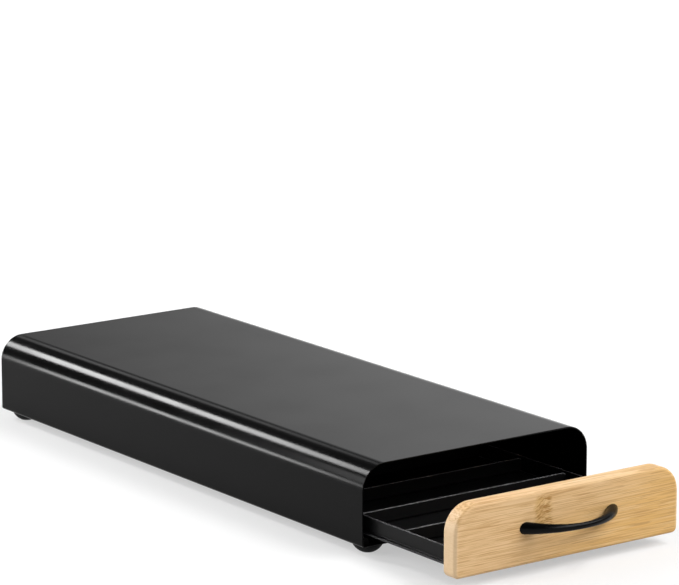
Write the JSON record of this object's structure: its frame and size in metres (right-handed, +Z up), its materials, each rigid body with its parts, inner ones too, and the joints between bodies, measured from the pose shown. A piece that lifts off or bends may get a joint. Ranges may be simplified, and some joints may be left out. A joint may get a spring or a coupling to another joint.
{
  "type": "coffee pod drawer",
  "caption": "Low pod drawer that a small coffee machine stands on: a glossy bent-steel housing with a divided steel tray that slides out behind a bamboo front with a black bow handle.",
  "frame": {"origin": "on the ground under the middle of the whole object, with the drawer at its rest pull", "axes": "+X to the right seen from the front, +Y from the drawer front towards the back, +Z up"},
  "size_m": [0.18, 0.5386, 0.0585],
  "materials": {
    "gloss_black": "gloss black powder coat",
    "inner_black": "satin black powder coat",
    "tray_black": "satin black powder coat",
    "bamboo": "clear satin lacquer over bamboo",
    "handle_black": "satin black",
    "rubber": "matte",
    "zinc": "bright zinc plate"
  },
  "bodies": {
    "housing": {"housing_shell": "gloss_black", "back_panel": "inner_black", "front_brace": "inner_black", "rear_brace": "inner_black", "left_runner": "inner_black", "right_runner": "inner_black", "left_keeper": "inner_black", "right_keeper": "inner_black", "left_stop": "inner_black", "right_stop": "inner_black", "foot_front_left": "rubber", "foot_front_right": "rubber", "foot_rear_left": "rubber", "foot_rear_right": "rubber", "left_bumper": "rubber", "right_bumper": "rubber"},
    "drawer": {"tray": "tray_black", "row_divider_1": "tray_black", "row_divider_2": "tray_black", "row_divider_3": "tray_black", "row_divider_4": "tray_black", "row_divider_5": "tray_black", "row_divider_6": "tray_black", "row_divider_7": "tray_black", "row_divider_8": "tray_black", "panel_screws": "zinc", "bamboo_front": "bamboo", "handle": "handle_black", "handle_screws": "zinc"}
  },
  "joints": [
    {"name": "drawer_slide", "type": "slide", "parent": "housing", "child": "drawer", "axis": [0, -1, 0], "range_m": [-0.0908, 0.2292]}
  ]
}
